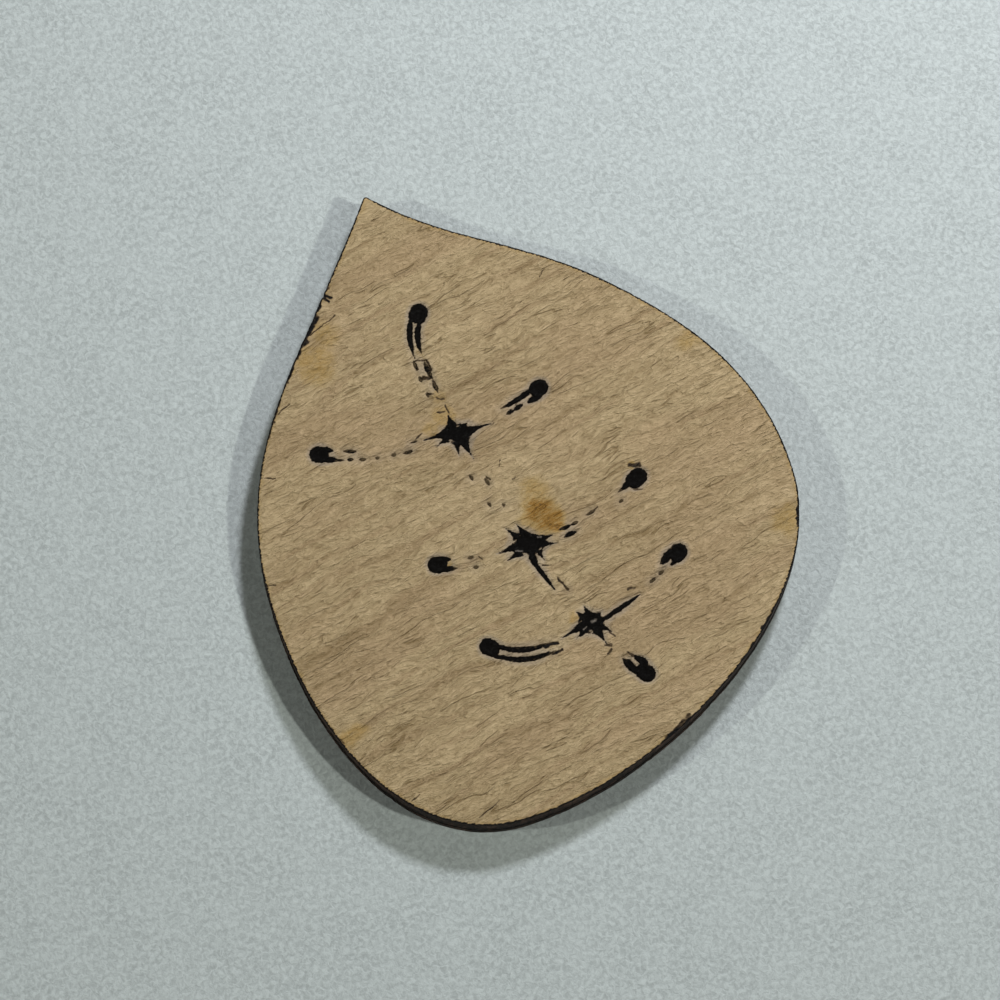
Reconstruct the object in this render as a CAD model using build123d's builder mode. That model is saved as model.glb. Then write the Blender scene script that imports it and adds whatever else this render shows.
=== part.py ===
"""A small leaf cut by laser from three-ply board, with a vein pattern burned into its face.

The leaf lies face up on XY: +Y points to its tip, +Z out of the burned face, and the origin is
the centre of its outer box on the back face. All sizes are millimetres.
"""

from build123d import *
import math
import os

# ---------------------------------------------------------------- board
leaf_length = 50.0
leaf_width = 41.0
face_thickness = 0.9
core_thickness = 1.0
back_thickness = 0.9
glue_thickness = 0.1

# ---------------------------------------------------------------- outline
# The outline has five nodes: the tip, the widest point of each side (a belly), the foot, and a
# shoulder between the tip and the right belly. A handle is how far a curve's control point
# stands from its node; headings are degrees counter-clockwise from +X.
tip_shift = 5.3
tip_radius = 0.25
left_flank_heading = 235.8
left_flank_handle = 12.7
right_flank_heading = -47.3
right_flank_handle = 6.3
left_belly_drop = 3.2
left_belly_up = 11.9
left_belly_down = 11.5
foot_shift = 6.7
foot_left = 8.5
foot_right = 10.9
right_belly_drop = 4.7
right_belly_down = 10.9
right_belly_up = 8.6
shoulder_inset = 10.7
shoulder_drop = 10.5
shoulder_heading = 139.6
shoulder_low_handle = 7.3
shoulder_high_handle = 6.3

# ---------------------------------------------------------------- burned marks
# The charred wood is the veneer's own, so it touches the groove round it with no gap.
groove_depth = 0.3
char_sink = 0.05
head_width = 1.1
rail_width = 0.28

# ---------------------------------------------------------------- levels
back_top = back_thickness
core_bottom = back_top + glue_thickness
core_top = core_bottom + core_thickness
face_bottom = core_top + glue_thickness
face_top = face_bottom + face_thickness
groove_floor = face_top - groove_depth


def reach(heading, length):
    """A curve handle: the step from a node to its control point."""
    return Vector(length, 0).rotate(Axis.Z, heading)


# The tip's corner stands past the leaf's length by what its rounding takes off.
half_tip_angle = math.radians(360 + right_flank_heading - left_flank_heading) / 2
tip_overshoot = tip_radius / math.sin(half_tip_angle) - tip_radius

tip = Vector(-tip_shift, leaf_length / 2 + tip_overshoot)
foot = Vector(-foot_shift, -leaf_length / 2)
left_belly = Vector(-leaf_width / 2, -left_belly_drop)
right_belly = Vector(leaf_width / 2, -right_belly_drop)
shoulder = Vector(leaf_width / 2 - shoulder_inset, leaf_length / 2 - shoulder_drop)

with BuildSketch() as leaf:
    with BuildLine():
        Bezier(
            tip,
            tip + reach(left_flank_heading, left_flank_handle),
            left_belly + Vector(0, left_belly_up),
            left_belly,
        )
        Bezier(
            left_belly,
            left_belly - Vector(0, left_belly_down),
            foot - Vector(foot_left, 0),
            foot,
        )
        Bezier(
            foot,
            foot + Vector(foot_right, 0),
            right_belly - Vector(0, right_belly_down),
            right_belly,
        )
        Bezier(
            right_belly,
            right_belly + Vector(0, right_belly_up),
            shoulder - reach(shoulder_heading, shoulder_low_handle),
            shoulder,
        )
        Bezier(
            shoulder,
            shoulder + reach(shoulder_heading, shoulder_high_handle),
            tip + reach(right_flank_heading, right_flank_handle),
            tip,
        )
    make_face()


# ---------------------------------------------------------------- drawing the marks
def along(line, distance, side=0.0):
    """The point at a distance along a stroke's centre line, moved sideways to its left."""
    place = distance / line.length
    return line @ place + (line % place).rotate(Axis.Z, 90) * side


def head(line, start, end, side=0.0, width=head_width):
    """A solid blob where the pen was set down or lifted, about as wide as the pen's track."""
    middle = along(line, (start + end) / 2, side)
    SlotCenterPoint(middle, along(line, end, side), width)


def rail(line, side, start, end, width=rail_width):
    """A burned line beside the centre line, widest in the middle and pointed at both ends."""
    first = along(line, start, side)
    last = along(line, end, side)
    halfway = (start + end) / 2
    chord_middle = (first + last) / 2
    left_side = along(line, halfway, side + width / 2) * 2 - chord_middle
    right_side = along(line, halfway, side - width / 2) * 2 - chord_middle
    with BuildLine() as outline:
        Bezier(first, right_side, last)
        Bezier(last, left_side, first)
    make_face(outline.line)


def star(centre, waist, spurs):
    """A pool of char at a crossing: spurs, given in order round it, with hollow sides between."""
    tips = [centre + Vector(x, y) for x, y in spurs]
    with BuildLine() as outline:
        for this_tip, next_tip in zip(tips, tips[1:] + tips[:1]):
            towards = (this_tip - centre).normalized() + (next_tip - centre).normalized()
            Bezier(this_tip, centre + towards.normalized() * waist, next_tip)
    make_face(outline.line)


# Centre lines of the strokes, from where the pen was set down. The veins cross the spine.
upper_crossing = Vector(-3.5, 5.2)
middle_crossing = Vector(-0.3, -4.7)
lower_crossing = Vector(2.6, -11.7)

spine = Spline(
    (-3.6, 15.3), (-4.7, 12.9), (-4.4, 9.9), upper_crossing,
    (-2.2, 0.2), middle_crossing, lower_crossing, (5.8, -17.1),
)
upper_vein = Spline((-14.4, 6.4), (-12.0, 5.6), (-8.5, 4.9), upper_crossing, (0.4, 5.8), (4.2, 7.1))
middle_vein = Spline((-8.0, -4.3), (-4.0, -4.9), middle_crossing, (4.6, -3.8), (9.5, -1.8))
lower_vein = Spline((-5.8, -11.4), (-2.4, -12.9), lower_crossing, (6.6, -10.3), (10.8, -8.0))

with BuildSketch() as upper_crossing_marks:
    star(
        upper_crossing,
        0.25,
        [(-0.2, 1.5), (1.2, 0.5), (2.8, -0.1), (0.8, -2.4), (-0.2, -1.9), (-1.6, -0.7), (-2.5, 0.0)],
    )

with BuildSketch() as middle_crossing_marks:
    star(
        middle_crossing,
        0.45,
        [(-1.5, 1.6), (-0.6, 1.7), (1.8, 0.2), (1.9, -0.5)]
        + [(0.7, -1.5), (0.1, -1.9), (-2.0, -0.8), (-2.7, -0.1)],
    )
    rail(spine, -0.68, 20.9, 24.9, 0.32)

with BuildSketch() as lower_crossing_marks:
    star(
        lower_crossing,
        0.35,
        [(-1.0, 1.0), (-0.3, 1.3), (0.9, 0.5), (1.5, -0.1)]
        + [(1.2, -1.2), (0.6, -2.0), (-1.5, -1.0), (-2.6, -0.7)],
    )
    rail(lower_vein, -0.38, 9.2, 13.1, 0.34)

with BuildSketch() as spine_marks:
    head(spine, 0.3, 0.6, 0.12, 1.2)
    rail(spine, -0.25, 0.3, 4.0)
    rail(spine, 0.38, 0.3, 4.0)
    rail(spine, -0.45, 4.1, 4.9)
    rail(spine, 0.3, 4.3, 6.1)
    rail(spine, -0.55, 5.3, 5.9)
    rail(spine, 0.2, 6.2, 7.2)
    rail(spine, -0.6, 6.7, 7.2)
    rail(spine, -0.65, 13.9, 14.5)
    rail(spine, 0.2, 14.7, 15.5)
    rail(spine, -0.65, 16.4, 16.9)
    rail(spine, 0.2, 17.1, 17.5)
    rail(spine, 0.1, 25.1, 25.7)
    rail(spine, -0.34, 32.1, 34.1, 0.5)
    rail(spine, 0.45, 32.7, 34.1, 0.5)
    head(spine, 33.9, 34.3)

with BuildSketch() as upper_vein_marks:
    head(upper_vein, 0.4, 0.6)
    rail(upper_vein, 0.4, 0.3, 1.5)
    rail(upper_vein, -0.35, 0.3, 2.4)
    rail(upper_vein, 0.35, 2.3, 3.4)
    rail(upper_vein, -0.3, 2.6, 3.1)
    rail(upper_vein, -0.3, 3.5, 4.1)
    rail(upper_vein, -0.25, 4.7, 5.1)
    rail(upper_vein, -0.2, 5.9, 6.4)
    rail(upper_vein, -0.25, 6.8, 7.8)
    rail(upper_vein, 0.4, 7.5, 8.3)
    rail(upper_vein, -0.35, 15.2, 15.8)
    rail(upper_vein, -0.35, 15.9, 16.6)
    rail(upper_vein, 0.25, 14.9, 18.5)
    rail(upper_vein, -0.42, 17.1, 18.6, 0.4)
    head(upper_vein, 18.2, 18.5)

with BuildSketch() as middle_vein_marks:
    head(middle_vein, 0.4, 0.6)
    rail(middle_vein, 0.4, 0.3, 1.5)
    rail(middle_vein, -0.35, 0.3, 2.1)
    rail(middle_vein, 0.3, 2.8, 3.4)
    rail(middle_vein, -0.5, 3.1, 3.6)
    rail(middle_vein, -0.6, 10.1, 11.4)
    rail(middle_vein, 0.1, 10.0, 11.1)
    rail(middle_vein, 0.05, 11.2, 11.8)
    rail(middle_vein, 0.15, 12.5, 13.4)
    rail(middle_vein, -0.4, 15.1, 15.6)
    rail(middle_vein, 0.3, 15.5, 17.6)
    head(middle_vein, 17.2, 17.6, 0.2, 1.15)

with BuildSketch() as lower_vein_marks:
    head(lower_vein, 0.3, 0.6, 0.1)
    rail(lower_vein, 0.4, 0.2, 5.9)
    rail(lower_vein, -0.4, 0.2, 6.4)
    rail(lower_vein, -0.15, 14.1, 14.9)
    rail(lower_vein, -0.15, 15.1, 15.7)
    rail(lower_vein, 0.4, 15.8, 17.6, 0.5)
    rail(lower_vein, -0.25, 16.4, 17.6)
    head(lower_vein, 17.2, 17.5)


# ---------------------------------------------------------------- plies and glue
def lay_up(bottom, thickness):
    """Adds one layer of the board, cut to the leaf, with its tip rounded."""
    with BuildSketch(Plane.XY.offset(bottom)) as outline:
        add(leaf.sketch)
    extrude(outline.sketch, amount=thickness)
    fillet(edges().filter_by(Axis.Z).sort_by(Axis.Y)[-1], radius=tip_radius)


crossing_marks = (upper_crossing_marks, middle_crossing_marks, lower_crossing_marks)
vein_marks = (upper_vein_marks, middle_vein_marks, lower_vein_marks)

with BuildPart() as back_veneer:
    lay_up(0, back_thickness)

with BuildPart() as back_glue_line:
    lay_up(back_top, glue_thickness)

with BuildPart() as core_veneer:
    lay_up(core_bottom, core_thickness)

with BuildPart() as face_glue_line:
    lay_up(core_top, glue_thickness)

with BuildPart() as face_veneer:
    lay_up(face_bottom, face_thickness)
    with BuildSketch(Plane.XY.offset(groove_floor)):
        for marks in (spine_marks, *vein_marks, *crossing_marks):
            add(marks.sketch)
    extrude(amount=groove_depth, mode=Mode.SUBTRACT)


# ---------------------------------------------------------------- charred wood
def burn(marks, apart_from=()):
    """Adds the charred wood of some marks, without what other marks already cover."""
    with BuildSketch(Plane.XY.offset(groove_floor)) as char:
        add(marks.sketch)
        for other in apart_from:
            add(other.sketch, mode=Mode.SUBTRACT)
    extrude(char.sketch, amount=groove_depth - char_sink)


with BuildPart() as spine_burn:
    burn(spine_marks, crossing_marks)

with BuildPart() as upper_vein_burn:
    burn(upper_vein_marks, (upper_crossing_marks, spine_marks))

with BuildPart() as middle_vein_burn:
    burn(middle_vein_marks, (middle_crossing_marks, spine_marks))

with BuildPart() as lower_vein_burn:
    burn(lower_vein_marks, (lower_crossing_marks, spine_marks))

with BuildPart() as upper_crossing_burn:
    burn(upper_crossing_marks)

with BuildPart() as middle_crossing_burn:
    burn(middle_crossing_marks)

with BuildPart() as lower_crossing_burn:
    burn(lower_crossing_marks)

# ---------------------------------------------------------------- files
pieces = {
    "back_veneer": back_veneer,
    "back_glue_line": back_glue_line,
    "core_veneer": core_veneer,
    "face_glue_line": face_glue_line,
    "face_veneer": face_veneer,
    "spine_burn": spine_burn,
    "upper_vein_burn": upper_vein_burn,
    "middle_vein_burn": middle_vein_burn,
    "lower_vein_burn": lower_vein_burn,
    "upper_crossing_burn": upper_crossing_burn,
    "middle_crossing_burn": middle_crossing_burn,
    "lower_crossing_burn": lower_crossing_burn,
}

os.makedirs("parts", exist_ok=True)
for name, piece in pieces.items():
    piece.part.label = name
    export_step(piece.part, f"parts/{name}.step")
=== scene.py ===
"""A leaf-shaped board cut by laser from three-ply wood, with a vein pattern burned into its face.

Every ply, glue film and burned mark is a sculpted mesh laid on its packed solid. Lengths inside the
functions are millimetres, and turn into metres where a mesh, a lamp or the camera is made.
"""

import math

import bpy
import numpy as np
from bpy.props import FloatProperty, FloatVectorProperty, PointerProperty
from mathutils import Matrix, Vector, geometry


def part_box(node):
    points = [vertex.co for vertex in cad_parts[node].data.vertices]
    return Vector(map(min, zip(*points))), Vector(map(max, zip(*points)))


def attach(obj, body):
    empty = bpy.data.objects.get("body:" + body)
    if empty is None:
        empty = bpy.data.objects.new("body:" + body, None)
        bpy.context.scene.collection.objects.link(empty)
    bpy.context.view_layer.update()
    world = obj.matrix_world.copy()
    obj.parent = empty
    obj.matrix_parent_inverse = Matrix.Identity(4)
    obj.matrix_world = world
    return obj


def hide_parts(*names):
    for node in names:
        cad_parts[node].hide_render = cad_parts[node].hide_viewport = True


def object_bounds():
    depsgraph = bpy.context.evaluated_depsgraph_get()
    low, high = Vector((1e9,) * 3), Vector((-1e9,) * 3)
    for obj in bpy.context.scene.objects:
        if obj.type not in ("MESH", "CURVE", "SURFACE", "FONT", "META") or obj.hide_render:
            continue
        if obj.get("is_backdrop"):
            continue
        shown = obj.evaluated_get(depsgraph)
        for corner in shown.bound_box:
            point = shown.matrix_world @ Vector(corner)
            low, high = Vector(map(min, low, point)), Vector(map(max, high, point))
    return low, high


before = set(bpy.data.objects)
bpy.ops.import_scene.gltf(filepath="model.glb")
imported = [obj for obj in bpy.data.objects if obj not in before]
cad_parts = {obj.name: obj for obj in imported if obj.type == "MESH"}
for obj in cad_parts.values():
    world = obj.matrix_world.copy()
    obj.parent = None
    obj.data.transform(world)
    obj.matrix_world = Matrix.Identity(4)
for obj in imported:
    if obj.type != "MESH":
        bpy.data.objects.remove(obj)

bl_info = {
    "name": "Burned Leaf Plaque",
    "version": (1, 0, 0),
    "blender": (4, 5, 0),
    "location": "View3D > Sidebar > Leaf",
    "description": "Lays veneers, glue films and burned marks over the frame of a small plywood leaf",
    "category": "Add Mesh",
}

MM = 0.001
LOW, HIGH = (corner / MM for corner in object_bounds())
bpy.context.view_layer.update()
FACE_TOP = HIGH.z
BURN_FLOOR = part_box("spine_burn")[0].z / MM
BURN_SINK = FACE_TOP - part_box("spine_burn")[1].z / MM

BURNS = (
    "spine_burn",
    "upper_vein_burn",
    "middle_vein_burn",
    "lower_vein_burn",
    "upper_crossing_burn",
    "middle_crossing_burn",
    "lower_crossing_burn",
)

# ---------------------------------------------------------------- marks too faint to be solids
# The deepest notch in the board's left edge: from, to.
EDGE_NOTCH = ((-10.4, 18.2), (-9.9, 17.95))
# A touch is a short stroke of heat: from, to, its width and how dark it is, in millimetres and 0 to 1.
SOOT_TOUCHES = (
    (*EDGE_NOTCH, 0.17, 1.0),
    ((-10.35, 17.95), (-10.15, 17.7), 0.15, 0.95),
    ((7.7, -20.6), (7.4, -20.8), 0.22, 0.5),
    ((7.1, -20.9), (6.3, -21.5), 0.26, 0.6),
    ((6.4, -21.4), (6.0, -21.8), 0.22, 0.8),
    ((-5.05, 11.4), (-5.1, 10.7), 0.14, 0.6),
    ((-4.9, 11.4), (-4.3, 11.3), 0.1, 0.5),
    ((-4.2, 11.2), (-4.0, 10.4), 0.16, 0.68),
    ((-4.8, 9.95), (-4.2, 9.8), 0.2, 0.64),
    ((-4.25, 10.1), (-4.1, 9.8), 0.2, 0.68),
    ((-4.1, 9.5), (-4.0, 8.8), 0.15, 0.64),
    ((-4.75, 8.7), (-4.3, 8.55), 0.14, 0.56),
    ((-4.2, 8.1), (-3.7, 7.9), 0.14, 0.48),
    ((-4.4, 7.0), (-3.9, 6.9), 0.16, 0.54),
    ((-3.75, 7.4), (-3.6, 6.8), 0.12, 0.54),
    ((8.6, -0.85), (9.3, -0.95), 0.24, 0.72),
    ((-1.4, -12.63), (-0.4, -12.6), 0.2, 1.0),
    ((-0.95, -13.35), (-0.2, -13.2), 0.16, 0.8),
    ((3.0, -13.7), (3.5, -13.9), 0.16, 0.58),
    ((3.1, -14.4), (3.4, -14.2), 0.2, 0.56),
    ((3.6, -12.9), (3.9, -13.3), 0.12, 0.5),
    ((0.2, -6.5), (0.7, -6.7), 0.1, 0.58),
    ((1.0, -7.8), (1.25, -8.35), 0.16, 0.66),
    ((1.25, -8.4), (1.55, -8.85), 0.14, 0.64),
    ((5.8, -10.05), (6.4, -10.15), 0.12, 0.53),
    ((4.5, -14.7), (4.9, -15.2), 0.1, 0.5),
    ((-2.2, 1.2), (-1.9, 0.9), 0.12, 0.48),
    ((-1.0, 1.7), (-0.8, 2.2), 0.08, 0.48),
    ((-0.3, 0.5), (0.0, 0.6), 0.12, 0.44),
    ((-9.8, 4.8), (-9.5, 4.8), 0.1, 0.48),
    ((-6.6, 5.5), (-6.0, 5.7), 0.12, 0.53),
    ((-4.4, -4.6), (-4.1, -4.9), 0.1, 0.5),
    ((4.9, -3.6), (5.4, -3.3), 0.12, 0.44),
    ((8.4, -2.7), (9.0, -2.9), 0.12, 0.44),
)
# Stretches of the cut where the beam lingered: from, to, and how far the char reaches in.
EDGE_BURNS = (
    ((-10.3, 18.4), (-11.4, 16.6), 0.24),
    ((-11.5, 16.3), (-12.3, 15.3), 0.52),
    ((-12.4, 15.0), (-13.2, 14.0), 0.34),
    ((-13.3, 13.8), (-14.4, 12.6), 0.22),
    ((20.0, -7.2), (19.8, -8.4), 0.3),
    ((16.0, -14.4), (15.0, -15.8), 0.2),
    ((14.0, -16.6), (13.2, -17.5), 0.15),
    ((7.4, -20.9), (6.0, -21.8), 0.2),
    ((-15.5, 10.6), (-16.8, 8.6), 0.15),
    ((-18.0, -14.6), (-17.0, -16.0), 0.18),
)
# Heat stains: centre, half length along the grain, half width, and how deep the brown is.
STAINS = (
    ((1.0, -2.6), 2.1, 2.3, 0.5),
    ((1.1, -1.0), 1.9, 1.7, 0.27),
    ((1.9, -3.4), 1.3, 1.2, 0.56),
    ((-12.4, 13.2), 2.2, 2.6, 0.25),
    ((-11.0, 15.2), 1.5, 1.8, 0.2),
    ((-4.0, 6.6), 1.3, 1.2, 0.24),
    ((-3.9, 8.2), 0.9, 0.9, 0.18),
    ((-5.2, 5.9), 1.2, 0.8, 0.22),
    ((1.4, -11.0), 0.7, 0.8, 0.28),
    ((-17.2, -15.4), 1.9, 1.3, 0.3),
    ((18.9, -8.1), 1.6, 1.9, 0.24),
    ((15.6, 7.4), 1.8, 1.2, 0.2),
    ((-4.4, 12.0), 0.5, 0.9, 0.14),
    ((8.6, -0.8), 0.5, 0.4, 0.3),
    ((-6.8, -4.5), 0.7, 0.5, 0.26),
    ((-5.8, 24.2), 1.2, 0.9, 0.14),
)
# Checks in the board's edge: from, to. Each is sunk into the face and darkened there as painted shade in the
# crack.
EDGE_CHECKS = (
    ((-19.0, 5.75), (-17.6, 5.3)),
    ((-20.6, -2.6), (-19.7, -2.75)),
    ((-16.2, 10.1), (-15.0, 10.6)),
    ((-14.2, -21.4), (-13.4, -21.0)),
    ((-9.6, -23.9), (-7.8, -23.2)),
    ((-12.2, 15.4), (-10.0, 16.5)),
    ((19.2, -12.1), (18.6, -11.8)),
    ((6.4, 15.7), (6.0, 15.3)),
)
# Pale ash left on the char: from, to, width.
ASH_TOUCHES = (
    ((2.6, -11.75), (2.8, -11.68), 0.15),
    ((1.8, -12.15), (2.1, -12.0), 0.09),
    ((-1.5, -4.95), (-1.1, -5.1), 0.08),
    ((0.4, -4.3), (0.7, -4.4), 0.1),
)


# ---------------------------------------------------------------- settings
def length(name, description, value):
    """A length setting, given in millimetres."""
    return FloatProperty(name=name, description=description, default=value * MM, unit="LENGTH", precision=5)


def colour(name, description, value):
    """A surface colour setting."""
    return FloatVectorProperty(
        name=name, description=description, default=value, subtype="COLOR", size=3, min=0.0, max=1.0
    )


def angle(name, description, degrees):
    """An angle setting, given in degrees."""
    return FloatProperty(name=name, description=description, default=math.radians(degrees), subtype="ANGLE")


class LeafBoardSettings(bpy.types.PropertyGroup):
    """Shape of the board's veneers and cut edge."""

    grain_heading: angle("Grain heading", "Direction of the face fibres, counter-clockwise from +X", 14.6)
    relief: length("Fibre relief", "Height of the fibres that stand out of the face", 0.032)
    mesh_spacing: length("Mesh spacing", "Distance between the points of the face", 0.15)
    detail_spacing: length("Detail spacing", "Distance between points beside burned marks", 0.073)
    kerf_taper: length("Kerf taper", "How much wider the board is at its back than at its face", 0.05)
    scallops: length("Scallops", "Depth of the ripples that the pulsing beam leaves in the edge", 0.016)
    core_recess: length("Core recess", "How far the core's burned end grain stands back", 0.035)
    check_depth: length("Check depth", "Depth of the small cracks at the edge", 0.07)


class LeafBurnSettings(bpy.types.PropertyGroup):
    """Shape of the burned marks."""

    hollow: length("Hollow", "How far the face dips at a mark's edge", 0.05)
    crust: length("Crust", "Height of the char's rough crust", 0.022)
    ragged: length("Ragged edge", "How far the char's edge wanders", 0.055)
    halo: length("Halo", "Width of the bleached band beside a mark", 0.6)


class LeafFinishSettings(bpy.types.PropertyGroup):
    """Colours of the wood and the char."""

    pale_wood: colour("Pale wood", "The lightest fibres of the face", (0.66, 0.482, 0.27))
    # The dark wood colour is also painted into the low fibres and pores as shade.
    dark_wood_and_shade: colour("Dark wood", "The darkest fibres of the face", (0.29, 0.192, 0.087))
    rose_wood: colour("Rose wood", "The pinkish bands of the face", (0.59, 0.405, 0.23))
    bleached: colour("Bleached", "Wood bleached by heat beside a mark", (0.40, 0.33, 0.27))
    honey: colour("Honey", "The first stain of heat", (0.48, 0.305, 0.105))
    amber: colour("Amber", "A deeper stain", (0.37, 0.183, 0.034))
    umber: colour("Umber", "Scorched wood", (0.07, 0.042, 0.02))
    singed: colour("Singed", "The slightest burned marks", (0.12, 0.082, 0.043))
    soot: colour("Soot", "Burned wood", (0.004, 0.003, 0.0025))
    ash: colour("Ash", "The grey bloom on the char", (0.022, 0.021, 0.018))
    edge_brown: colour("Edge brown", "The cut edge where it is least burned", (0.15, 0.083, 0.056))
    glue_brown: colour("Glue brown", "The scorched glue films", (0.016, 0.010, 0.008))


class LeafStageSettings(bpy.types.PropertyGroup):
    """The floor, the lamps and the camera."""

    floor_colour: colour("Floor", "Colour of the pale floor", (0.638, 0.672, 0.652))
    camera_tilt: angle("Camera tilt", "Lean of the view from straight down", 13.0)
    camera_turn: angle("Camera turn", "Turn of the view, so that the leaf leans left", 15.4)
    camera_distance: length("Camera distance", "From the camera to the face", 399.0)


SETTINGS = {
    "leaf_board": LeafBoardSettings,
    "leaf_burn": LeafBurnSettings,
    "leaf_finish": LeafFinishSettings,
    "leaf_stage": LeafStageSettings,
}


def size(group, name):
    """A length setting in millimetres."""
    return getattr(getattr(bpy.context.scene, group), name) / MM


def turn(group, name):
    """An angle setting in radians."""
    return getattr(getattr(bpy.context.scene, group), name)


def finish(name):
    """A colour setting with alpha, as sockets take it."""
    return (*getattr(bpy.context.scene.leaf_finish, name), 1.0)


# ---------------------------------------------------------------- noise for shapes
def smooth(value, low, high):
    """0 below low, 1 above high and a soft step between; low may be the greater one."""
    step = np.clip((value - low) / (high - low), 0.0, 1.0)
    return step * step * (3 - 2 * step)


def speckle(points, along, across, seed):
    """Smooth noise from -1 to 1, its blobs stretched along the grain."""
    heading = turn("leaf_board", "grain_heading")
    axes = np.array([[math.cos(heading), -math.sin(heading)], [math.sin(heading), math.cos(heading)]])
    place = points @ axes / (along, across)
    cell = np.floor(place).astype(np.int64)
    blend = smooth(place - cell, 0.0, 1.0)

    def corner(dx, dy):
        """A fixed random value from -1 to 1 at one corner of each point's cell."""
        mixed = (cell[:, 0] + dx) * 374761393 + (cell[:, 1] + dy) * 668265263 + seed * 974634777
        mixed = (mixed ^ (mixed >> 13)) * 1274126177
        return ((mixed ^ (mixed >> 16)) & 0xFFFF) / 0x8000 - 1

    low = corner(0, 0) * (1 - blend[:, 0]) + corner(1, 0) * blend[:, 0]
    high = corner(0, 1) * (1 - blend[:, 0]) + corner(1, 1) * blend[:, 0]
    return low * (1 - blend[:, 1]) + high * blend[:, 1]


def fibres(points, along, across, seed, layers=3):
    """Several speckles, each half the size and half the height of the one before."""
    total = sum(
        speckle(points, along / 2**k, across / 2**k, seed + 31 * k) / 2**k for k in range(layers)
    )
    return total / (2 - 2 ** (1 - layers))


def wander(points, scale, amount, seed):
    """The points, each moved a little, so that what is drawn on them waves."""
    shift = [speckle(points, scale, scale, seed), speckle(points, scale, scale, seed + 7)]
    return points + amount * np.stack(shift, axis=1)


# ---------------------------------------------------------------- distances over the leaf
# Distances are worked out on a grid that is a little larger than the leaf, and stop growing at FAR.
# Burned wood within HEAT_REACH makes a place heavier, and a faint touch takes TOUCH_REACH to each side.
GRID_STEP = 0.05
GRID_MARGIN = 1.0
FAR = 1.4
HEAT_REACH = 0.7
TOUCH_REACH = 0.1
GRID_LOW = np.array([LOW.x, LOW.y]) - GRID_MARGIN
GRID_HIGH = np.array([HIGH.x, HIGH.y]) + GRID_MARGIN
GRID_SIZE = tuple(int(count) for count in np.ceil((GRID_HIGH - GRID_LOW) / GRID_STEP))
GRID = np.stack(np.meshgrid(*map(np.arange, GRID_SIZE), indexing="ij"), axis=-1) * GRID_STEP + GRID_LOW


def window(corners, margin):
    """The part of the grid within a margin of some corners."""
    low = np.floor((corners.min(axis=0) - margin - GRID_LOW) / GRID_STEP).astype(int)
    high = np.ceil((corners.max(axis=0) + margin - GRID_LOW) / GRID_STEP).astype(int) + 1
    low, high = np.maximum(low, 0), np.minimum(high, GRID_SIZE)
    return slice(low[0], high[0]), slice(low[1], high[1])


def distance_to(edges):
    """Each grid point's distance to the nearest edge, up to FAR."""
    distance = np.full(GRID_SIZE, FAR)
    for start, end in edges:
        part = window(np.array([start, end]), FAR)
        run = np.subtract(end, start)
        offset = GRID[part] - start
        reached = np.clip(offset @ run / max(run @ run, 1e-9), 0.0, 1.0)
        gap = np.linalg.norm(offset - reached[..., None] * run, axis=-1)
        distance[part] = np.minimum(distance[part], gap)
    return distance


def within(triangles):
    """Which grid points lie in any of the triangles."""
    inside = np.zeros(GRID_SIZE, bool)
    for triangle in triangles:
        part = window(triangle, 0.0)
        turns = []
        for start, end in zip(triangle, np.roll(triangle, -1, axis=0)):
            run, offset = end - start, GRID[part] - start
            turns.append(run[0] * offset[..., 1] - run[1] * offset[..., 0])
        turns = np.array(turns)
        inside[part] |= np.all(turns >= 0, axis=0) | np.all(turns <= 0, axis=0)
    return inside


def level_triangles(node, top=True):
    """The triangles of a CAD node's top or bottom face, seen from above."""
    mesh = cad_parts[node].data
    mesh.calc_loop_triangles()
    places = np.array([vertex.co for vertex in mesh.vertices]) / MM
    corners = places[np.array([triangle.vertices for triangle in mesh.loop_triangles])]
    heights = corners[:, :, 2]
    level = heights.max() if top else heights.min()
    return corners[np.all(np.abs(heights - level) < 0.01, axis=1)][:, :, :2]


def rim_edges(triangles):
    """The edges that only one of the triangles has."""
    found = {}
    for triangle in triangles.round(4):
        corners = [tuple(corner) for corner in triangle]
        for start, end in zip(corners, corners[1:] + corners[:1]):
            if found.pop((end, start), None) is None:
                found[start, end] = True
    return [(np.array(start), np.array(end)) for start, end in found]


def signed_distance(node, top=True):
    """Each grid point's distance to the rim of a node's top or bottom face, negative inside it."""
    triangles = level_triangles(node, top)
    distance = distance_to(rim_edges(triangles))
    return np.where(within(triangles), -distance, distance)


def sample(grid, points):
    """A grid's value at each point, mixed from the four grid points round it."""
    place = (points - GRID_LOW) / GRID_STEP
    cell = np.clip(np.floor(place).astype(int), 0, np.array(GRID_SIZE) - 2)
    u, v = (place - cell).T
    i, j = cell.T
    left = grid[i, j] * (1 - v) + grid[i, j + 1] * v
    right = grid[i + 1, j] * (1 - v) + grid[i + 1, j + 1] * v
    return left * (1 - u) + right * u


def ragged(points):
    """The points shifted a little, so that a touch drawn on them has a torn outline."""
    return wander(wander(points, 0.5, 0.09, 601), 0.16, 0.045, 603)


def touch(points, start, end, width):
    """1 on a short stroke and 0 from its width outwards."""
    run = np.subtract(end, start)
    offset = points - start
    reached = np.clip(offset @ run / (run @ run), 0.0, 1.0)
    gap = np.linalg.norm(offset - reached[:, None] * run, axis=1)
    return smooth(gap, width, width * 0.2)


def spread(mask, reach):
    """The share of each grid point's square neighbourhood that a mask fills."""
    cells = round(reach / GRID_STEP)
    shifts = range(-cells, cells + 1)
    total = mask.astype(float)
    for axis in (0, 1):
        total = sum(np.roll(total, shift, axis=axis) for shift in shifts) / len(shifts)
    return total


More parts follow.
